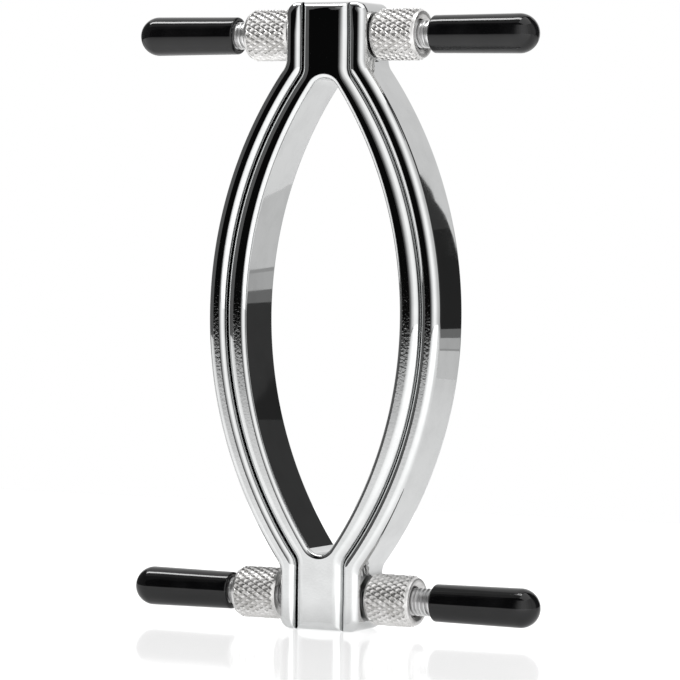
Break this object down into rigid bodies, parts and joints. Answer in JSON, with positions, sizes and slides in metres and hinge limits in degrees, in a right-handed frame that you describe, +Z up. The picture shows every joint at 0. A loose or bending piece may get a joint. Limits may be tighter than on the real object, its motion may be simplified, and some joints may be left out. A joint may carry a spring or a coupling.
{
  "type": "screw-adjusted almond ring clamp",
  "caption": "Flat almond-shaped screw clamp: curved outer bars slide on cross rods against a centre ring, set by knurled nuts, with soft caps on the rod ends.",
  "frame": {"origin": "on the flat under the lower lugs, below the middle of the ring, where the part stands", "axes": "+Z up the long axis, +X along the rods towards the right bar, -Y the front face"},
  "size_m": [0.0806, 0.011, 0.1117],
  "materials": {
    "ring_chrome": "mirror chrome plate",
    "bar_chrome": "mirror chrome plate",
    "rod_steel": "bright plated thread",
    "nut_nickel": "satin nickel, diamond knurled",
    "cap_vinyl": "glossy black dipped vinyl"
  },
  "bodies": {
    "frame": {"centre_ring": "ring_chrome", "top_rod": "rod_steel", "bottom_rod": "rod_steel", "top_left_cap": "cap_vinyl", "top_right_cap": "cap_vinyl", "bottom_left_cap": "cap_vinyl", "bottom_right_cap": "cap_vinyl"},
    "left_bar_body": {"left_bar": "bar_chrome"},
    "right_bar_body": {"right_bar": "bar_chrome"},
    "top_left_nut_body": {"top_left_nut": "nut_nickel"},
    "bottom_left_nut_body": {"bottom_left_nut": "nut_nickel"},
    "top_right_nut_body": {"top_right_nut": "nut_nickel"},
    "bottom_right_nut_body": {"bottom_right_nut": "nut_nickel"}
  },
  "joints": [
    {"name": "left_bar_slide", "type": "slide", "parent": "frame", "child": "left_bar_body", "axis": [-1, 0, 0], "range_m": [0, 0.0014]},
    {"name": "top_left_nut_spin", "type": "hinge", "parent": "left_bar_body", "child": "top_left_nut_body", "pos_m": [0, 0, 0.106], "axis": [-1, 0, 0], "range_deg": [0, 630]},
    {"name": "bottom_left_nut_spin", "type": "hinge", "parent": "left_bar_body", "child": "bottom_left_nut_body", "pos_m": [0, 0, 0.0057], "axis": [-1, 0, 0], "range_deg": [0, 630]},
    {"name": "right_bar_slide", "type": "slide", "parent": "frame", "child": "right_bar_body", "axis": [1, 0, 0], "range_m": [0, 0.0016]},
    {"name": "top_right_nut_spin", "type": "hinge", "parent": "right_bar_body", "child": "top_right_nut_body", "pos_m": [0, 0, 0.106], "axis": [1, 0, 0], "range_deg": [0, 720]},
    {"name": "bottom_right_nut_spin", "type": "hinge", "parent": "right_bar_body", "child": "bottom_right_nut_body", "pos_m": [0, 0, 0.0057], "axis": [1, 0, 0], "range_deg": [0, 720]}
  ],
  "couplings": [
    {"joint": "top_left_nut_spin", "follows": "left_bar_slide", "rad_per_m": 7854},
    {"joint": "bottom_left_nut_spin", "follows": "left_bar_slide", "rad_per_m": 7854},
    {"joint": "top_right_nut_spin", "follows": "right_bar_slide", "rad_per_m": 7854},
    {"joint": "bottom_right_nut_spin", "follows": "right_bar_slide", "rad_per_m": 7854}
  ]
}
